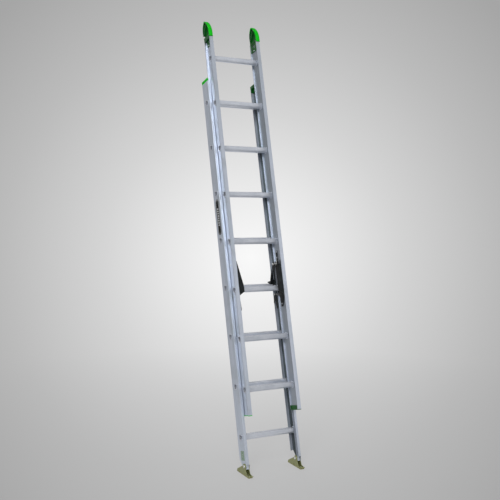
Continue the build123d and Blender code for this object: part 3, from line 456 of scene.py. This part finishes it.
def start_tree(name, sizes):
    """A tree with a geometry input and named numbers. Returns it, its input node and the sizes' ids."""
    tree = bpy.data.node_groups.new(name, "GeometryNodeTree")
    tree.interface.new_socket("Geometry", in_out="INPUT", socket_type="NodeSocketGeometry")
    ids = {}
    for label, kind in sizes.items():
        ids[label] = tree.interface.new_socket(label, in_out="INPUT", socket_type=kind).identifier
    tree.interface.new_socket("Geometry", in_out="OUTPUT", socket_type="NodeSocketGeometry")
    return tree, tree.nodes.new("NodeGroupInput").outputs, ids


def end_tree(tree, geometry, finish):
    """Realize what is instanced, set its material, and give it out."""
    realized = add(tree, "GeometryNodeRealizeInstances", {"Geometry": geometry}).outputs["Geometry"]
    inputs = {"Geometry": realized, "Material": finish}
    done = add(tree, "GeometryNodeSetMaterial", inputs).outputs["Geometry"]
    tree.links.new(done, tree.nodes.new("NodeGroupOutput").inputs[0])


def plain_mesh(name, tree, ids, values, paths, finish, body):
    """Run a tree on paths, each a list of points, and give the result to a body as a plain mesh."""
    guide = bpy.data.meshes.new(name + "_paths")
    points = [point for path in paths for point in path]
    edges = []
    start = 0
    for path in paths:
        edges += [(start + i, start + i + 1) for i in range(len(path) - 1)]
        start += len(path)
    guide.from_pydata([tuple(point) for point in points], edges, [])
    maker = bpy.data.objects.new(name + "_maker", guide)
    bpy.context.scene.collection.objects.link(maker)
    modifier = maker.modifiers.new("make", "NODES")
    modifier.node_group = tree
    for label, value in values.items():
        modifier[ids[label]] = value
    depsgraph = bpy.context.evaluated_depsgraph_get()
    mesh = bpy.data.meshes.new_from_object(maker.evaluated_get(depsgraph))
    bpy.data.objects.remove(maker)
    bpy.data.meshes.remove(guide)
    piece = bpy.data.objects.new(name, mesh)
    bpy.context.scene.collection.objects.link(piece)
    mesh.materials.clear()
    mesh.materials.append(finish)
    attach(piece, body)
    print(name, "faces", len(mesh.polygons))
    return piece


# %% [markdown]
# ## Swage marks round the rung ends
#
# A press clinches each rung to its rails, and its split jaws leave a ring of small dimples on the collar
# outside the web. Thirty-two rings of sixteen marks are too many to place by hand. The tree resamples one
# closed outline for each rung end and puts a flattened bead at every point.

# %% Swage marks
COLLAR = 3.5 * MM
RUNG_HALF = 18 * MM
RUNG_TOP = 16 * MM
MARKS = 16
MARK_RADIUS = 1.1 * MM
MARK_HEIGHT = 0.35
ARC_STEPS = 12


def rung_end_outline(centre, x):
    """The middle line of a collar: round below and flat on top, as the tread is level."""
    half = RUNG_HALF + COLLAR / 2
    top = RUNG_TOP + COLLAR / 2
    points = []
    for step in range(ARC_STEPS + 1):
        turn = math.pi * (1 + step / ARC_STEPS)
        points.append((half * math.cos(turn), half * math.sin(turn)))
    points += [(half, top - COLLAR), (half - COLLAR, top)]
    points += [(COLLAR - half, top), (-half, top - COLLAR), (-half, 0)]
    return [Vector((x, centre.y + off, centre.z + up)) for off, up in points]


def swage_tree(finish):
    """Flattened beads along each outline."""
    sizes = {"Marks": "NodeSocketInt", "Radius": "NodeSocketFloat", "Height": "NodeSocketFloat"}
    tree, given, ids = start_tree("swage_marks", sizes)
    curve = add(tree, "GeometryNodeMeshToCurve", {"Mesh": given["Geometry"]}).outputs["Curve"]
    even = add(tree, "GeometryNodeResampleCurve", {"Curve": curve, "Count": given["Marks"]}).outputs["Curve"]
    bead = add(tree, "GeometryNodeMeshUVSphere", {"Segments": 8, "Rings": 5, "Radius": given["Radius"]})
    flat = add(tree, "ShaderNodeCombineXYZ", {"X": given["Height"], "Y": 1.0, "Z": 1.0}).outputs[0]
    beads = add(tree, "GeometryNodeInstanceOnPoints",
                {"Points": even, "Instance": bead.outputs["Mesh"], "Scale": flat}).outputs["Instances"]
    end_tree(tree, beads, finish)
    return tree, ids


tree, ids = swage_tree(finishes["rail_aluminium"])
for section in SECTIONS:
    paths = []
    for number in range(1, RUNGS + 1):
        node = f"{section}_rung_{number}"
        low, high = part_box(node)
        for x in (low.x, high.x):
            paths.append(rung_end_outline(rung_axis(node), x))
    values = {"Marks": MARKS, "Radius": MARK_RADIUS, "Height": MARK_HEIGHT}
    plain_mesh(f"swage_marks_{section}", tree, ids, values, paths,
               finishes["rail_aluminium"], section)

# %% [markdown]
# ## Ridges on the treads
#
# Between the grooves of each tread the die leaves fine ridges that grip a boot. They follow straight
# lines, so the tree only sweeps a small round profile along each line. They stop short of the collars.

# %% Tread ridges
RIDGES = 6
RIDGE_PITCH = 5.5 * MM
RIDGE_RADIUS = 0.45 * MM
RIDGE_SUNK = 0.20 * MM
COLLAR_ROOM = 8 * MM


def ridge_tree(finish):
    """A round bar along each path."""
    tree, given, ids = start_tree("tread_ridges", {"Radius": "NodeSocketFloat", "Sides": "NodeSocketInt"})
    curve = add(tree, "GeometryNodeMeshToCurve", {"Mesh": given["Geometry"]}).outputs["Curve"]
    size = {"Resolution": given["Sides"], "Radius": given["Radius"]}
    ring = add(tree, "GeometryNodeCurvePrimitiveCircle", size).outputs["Curve"]
    inputs = {"Curve": curve, "Profile Curve": ring, "Fill Caps": True}
    swept = add(tree, "GeometryNodeCurveToMesh", inputs).outputs["Mesh"]
    end_tree(tree, swept, finish)
    return tree, ids


tree, ids = ridge_tree(finishes["rung_aluminium"])
for section in SECTIONS:
    web_in = abs(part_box(f"{section}_rung_1")[0].x) - COLLAR_ROOM
    paths = []
    for number in range(1, RUNGS + 1):
        axis = rung_axis(f"{section}_rung_{number}")
        for ridge in range(RIDGES):
            off = (ridge - (RIDGES - 1) / 2) * RIDGE_PITCH
            place = axis + Vector((0, off, RUNG_TOP - RIDGE_SUNK))
            paths.append([place - Vector((web_in, 0, 0)), place + Vector((web_in, 0, 0))])
    plain_mesh(f"tread_ridges_{section}", tree, ids, {"Radius": RIDGE_RADIUS, "Sides": 8}, paths,
               finishes["rung_aluminium"], section)

# %% [markdown]
# ## Torsion springs
#
# A spring is the purest shape that follows a rule. A spiral node could draw the coil, but it has no leg and
# no bend into one, so we write the wire's centre line as one path: a leg up the web and then the coil.
# The ridge tree sweeps it, because it is the same job with other sizes.

# %% Lock springs
WIRE = 0.9 * MM
WIRE_SIDES = 10
COIL_TURNS = 5
COIL_STEPS = 20
LEG = 26 * MM


def spring_path(side):
    """The wire's middle line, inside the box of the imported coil."""
    low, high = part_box(f"lock_spring_{side}")
    middle = (low + high) / 2
    radius = (high.z - low.z) / 2 - WIRE
    start, end = (low.x + WIRE, high.x - WIRE) if side == "left" else (high.x - WIRE, low.x + WIRE)
    points = []
    count = COIL_TURNS * COIL_STEPS
    for step in range(count + 1):
        turn = 2 * math.pi * step / COIL_STEPS
        x = start + (end - start) * step / count
        points.append(leaned((x, middle.y, middle.z), 0, -radius * math.cos(turn), radius * math.sin(turn)))
    leg_up = [leaned(points[0], 0, 0, LEG * share) for share in (1.0, 0.6, 0.2)]
    return leg_up + points


spring_sizes = {"Radius": WIRE, "Sides": WIRE_SIDES}
for side in SIDES:
    spring = plain_mesh(f"torsion_spring_{side}", tree, ids, spring_sizes, [spring_path(side)],
                        finishes["bright_steel"], "fly")
    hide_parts(f"lock_spring_{side}")
    for polygon in spring.data.polygons:
        polygon.use_smooth = True

# %% [markdown]
# ## Lit strips on the caps: painted light
#
# The caps get a bright green strip over their front and top, which bear on the wall and take the light:
# the strip's bright green is painted light on the lit face of the cap. It follows the cap's round edge and
# grips its rims. We could sculpt it, but the edge is two arcs, so we loft a small channel section along
# them and close both ends.

# %% Arcs and lofts


def arc(start, through, end, steps):
    """Points on the circle through three points in the plane, from the first to the last."""
    (ax, ay), (bx, by), (cx, cy) = start, through, end
    d = 2 * (ax * (by - cy) + bx * (cy - ay) + cx * (ay - by))
    a2, b2, c2 = ax * ax + ay * ay, bx * bx + by * by, cx * cx + cy * cy
    ux = (a2 * (by - cy) + b2 * (cy - ay) + c2 * (ay - by)) / d
    uy = (a2 * (cx - bx) + b2 * (ax - cx) + c2 * (bx - ax)) / d
    radius = math.hypot(ax - ux, ay - uy)
    first = math.atan2(ay - uy, ax - ux)
    sweep = math.atan2(cy - uy, cx - ux) - first
    middle = math.atan2(by - uy, bx - ux) - first
    if sweep > 0 and not 0 < middle % (2 * math.pi) < sweep:
        sweep -= 2 * math.pi
    if sweep < 0 and not sweep < -((-middle) % (2 * math.pi)) < 0:
        sweep += 2 * math.pi
    turns = [first + sweep * step / steps for step in range(steps + 1)]
    return [(ux + radius * math.cos(turn), uy + radius * math.sin(turn)) for turn in turns]


def loft(name, rings):
    """A closed solid from a row of rings with equally many points."""
    mesh = bmesh.new()
    rows = [[mesh.verts.new(point) for point in ring] for ring in rings]
    count = len(rings[0])
    for before, after in zip(rows, rows[1:]):
        for i in range(count):
            mesh.faces.new((before[i], before[(i + 1) % count], after[(i + 1) % count], after[i]))
    mesh.faces.new(rows[0])
    mesh.faces.new(reversed(rows[-1]))
    bmesh.ops.recalc_face_normals(mesh, faces=mesh.faces)
    data = bpy.data.meshes.new(name)
    mesh.to_mesh(data)
    mesh.free()
    for polygon in data.polygons:
        polygon.use_smooth = len(polygon.vertices) == 4
    piece = bpy.data.objects.new(name, data)
    bpy.context.scene.collection.objects.link(piece)
    return piece


# %% Lit strips on the caps
PAD_PROUD = 1.2 * MM
PAD_GRIP = 5 * MM
PAD_SIDE = 0.8 * MM
PAD_SOFT = 2.2 * MM
PAD_STEPS = 20
FROM_RIVET_FRONT = ((-48 * MM, 46 * MM), (-35.4 * MM, 121.9 * MM), (12 * MM, 171 * MM))
FROM_RIVET_REAR = ((12 * MM, 171 * MM), (36 * MM, 139.4 * MM), (42 * MM, 89.1 * MM))


def pad_section(half):
    """The pad's section: points (across, outward) round a channel that opens inward."""
    soft = PAD_SOFT
    return [
        (-half, -PAD_GRIP),
        (-half - PAD_SIDE, -PAD_GRIP),
        (-half - PAD_SIDE, -soft),
        (-half + soft * 0.2, -soft * 0.2 + PAD_PROUD / 2),
        (-half + soft, PAD_PROUD),
        (half - soft, PAD_PROUD),
        (half - soft * 0.2, -soft * 0.2 + PAD_PROUD / 2),
        (half + PAD_SIDE, -soft),
        (half + PAD_SIDE, -PAD_GRIP),
        (half, -PAD_GRIP),
        (half - soft, -soft),
        (soft - half, -soft),
    ]


def lit_strip(side):
    """One pad, lofted along the front and top of its cap."""
    low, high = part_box(f"fly_cap_{side}")
    rivet = centre_of("cap_rivets")
    line = arc(*FROM_RIVET_FRONT, PAD_STEPS) + arc(*FROM_RIVET_REAR, PAD_STEPS)[1:PAD_STEPS // 2]
    middle = (low.x + high.x) / 2
    half = (high.x - low.x) / 2
    rings = []
    for number, (off, up) in enumerate(line):
        before = line[max(number - 1, 0)]
        after = line[min(number + 1, len(line) - 1)]
        along = Vector((after[0] - before[0], after[1] - before[1])).normalized()
        out = Vector((-along.y, along.x))
        ring = []
        for across, height in pad_section(half):
            start = (middle + across, rivet.y, rivet.z)
            ring.append(leaned(start, 0, off + out.x * height, up + out.y * height))
        rings.append(ring)
    pad = loft(f"lit_strip_{side}", rings)
    # Painted light: the strip's bright green stands for the light on the cap's front and top.
    pad.data.materials.append(finishes["bright_green"])
    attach(pad, "fly")
    print(pad.name, "faces", len(pad.data.polygons))
    return pad


for side in SIDES:
    lit_strip(side)

# %% [markdown]
# ## Studio
#
# A pale floor that melts into an equally pale surround leaves nothing to distract from the metal. Both are
# brightest in one direction, behind the ladder, and fall off all round it. The floor is a wide disc that
# works out the same falloff as the surround, from where one stands to look, so no horizon shows. It glows
# with that falloff as painted light, mixed with a plain grey diffuse near the ladder.

# %% Floor and lights
FLOOR_RADIUS = 60.0
GLOW_WAY = Vector((0.4616, 0.8851, -0.0700)).normalized()
GLOW_STAND = (-2.24, -3.99, 1.63)
GLOW_FADE = ((0.0, 0.95), (0.105, 0.80), (0.19, 0.66), (0.31, 0.50), (0.42, 0.38), (0.7, 0.36))


def glow(tree, way):
    """Light grey straight behind the ladder, darker all round. The way is a direction of any length."""
    unit = add(tree, "ShaderNodeVectorMath", {0: way}, operation="NORMALIZE").outputs["Vector"]
    across = add(tree, "ShaderNodeVectorMath", {0: unit, 1: tuple(GLOW_WAY)}, operation="CROSS_PRODUCT")
    across = across.outputs["Vector"]
    apart = add(tree, "ShaderNodeVectorMath", {0: across}, operation="LENGTH").outputs["Value"]
    return ramp(tree, apart, [(place, (value, value, value)) for place, value in GLOW_FADE])


def floor():
    """A pale disc, just under the soles, that glows with the surround's falloff: painted light."""
    mesh = bmesh.new()
    bmesh.ops.create_circle(mesh, cap_ends=True, radius=FLOOR_RADIUS, segments=96)
    bmesh.ops.translate(mesh, verts=mesh.verts, vec=(0, 0, -0.0005))
    data = bpy.data.meshes.new("floor")
    mesh.to_mesh(data)
    mesh.free()
    disc = bpy.data.objects.new("floor", data)
    bpy.context.scene.collection.objects.link(disc)
    material, tree, shader = start_finish("floor_paper")
    place = add(tree, "ShaderNodeTexCoord").outputs["Object"]
    reach = add(tree, "ShaderNodeVectorMath", {0: place}, operation="LENGTH").outputs["Value"]
    fade = remap(tree, reach, 0.5, 4.0, 0.7, 1.0)
    shader.inputs["Base Color"].default_value = (0.6, 0.6, 0.6, 1)
    shader.inputs["Roughness"].default_value = 0.9
    way = add(tree, "ShaderNodeVectorMath", {0: place, 1: GLOW_STAND}, operation="SUBTRACT").outputs["Vector"]
    # Painted light: the floor emits the surround's falloff, so it glows though it is no lamp.
    lit = add(tree, "ShaderNodeEmission", {"Color": glow(tree, way), "Strength": 1.0}).outputs["Emission"]
    inputs = {0: fade, 1: shader.outputs["BSDF"], 2: lit}
    blended = add(tree, "ShaderNodeMixShader", inputs).outputs["Shader"]
    tree.links.new(blended, tree.nodes["Material Output"].inputs["Surface"])
    data.materials.append(material)
    return disc


def soft_light(name, place, target, size, power, colour):
    """A square soft light that looks at a target."""
    data = bpy.data.lights.new(name, "AREA")
    data.size = size
    data.energy = power
    data.color = colour
    light = bpy.data.objects.new(name, data)
    light.location = place
    light.rotation_euler = (Vector(target) - Vector(place)).to_track_quat("-Z", "Y").to_euler()
    bpy.context.scene.collection.objects.link(light)
    return light


floor()
low, high = Vector(CAD_BOX[0]), Vector(CAD_BOX[1])
MIDDLE = (low + high) / 2
soft_light("key", (-3.5, -4.5, 5.0), MIDDLE, 3.0, 230, (1.0, 1.0, 1.0))
soft_light("fill", (4.5, -3.0, 2.5), MIDDLE, 3.0, 30, (0.93, 0.95, 1.0))
soft_light("back", (0.5, 5.0, 4.5), MIDDLE, 3.0, 50, (0.95, 0.96, 1.0))
world = bpy.data.worlds.new("surround")
world.use_nodes = True
tree = world.node_tree
way = add(tree, "ShaderNodeTexCoord").outputs["Generated"]
tree.links.new(glow(tree, way), tree.nodes["Background"].inputs["Color"])
bpy.context.scene.world = world
bpy.context.scene.view_settings.view_transform = "Standard"
print("lights", 3)

# %% [markdown]
# ## Camera
#
# The camera stands to the climber's left, a little above half the ladder's height, and looks slightly down
# with a medium long lens. Its three directions are given outright, so that its small roll is kept.

# %% Camera
CAMERA_PLACE = Vector((-2.2416, -3.9850, 1.6256))
CAMERA_FORWARD = Vector((0.46163, 0.88507, -0.05958)).normalized()
CAMERA_RIGHT = Vector((0.88689, -0.46186, 0.01069))
LENS = 54.6
SENSOR = 36.0

camera_data = bpy.data.cameras.new("camera")
camera_data.lens = LENS
camera_data.sensor_width = SENSOR
camera = bpy.data.objects.new("camera", camera_data)
bpy.context.scene.collection.objects.link(camera)
right = (CAMERA_RIGHT - CAMERA_FORWARD * CAMERA_RIGHT.dot(CAMERA_FORWARD)).normalized()
up = right.cross(CAMERA_FORWARD)
turned = Matrix((right, up, -CAMERA_FORWARD)).transposed().to_4x4()
camera.matrix_world = Matrix.Translation(CAMERA_PLACE) @ turned
bpy.context.scene.camera = camera
print("camera", camera.location)
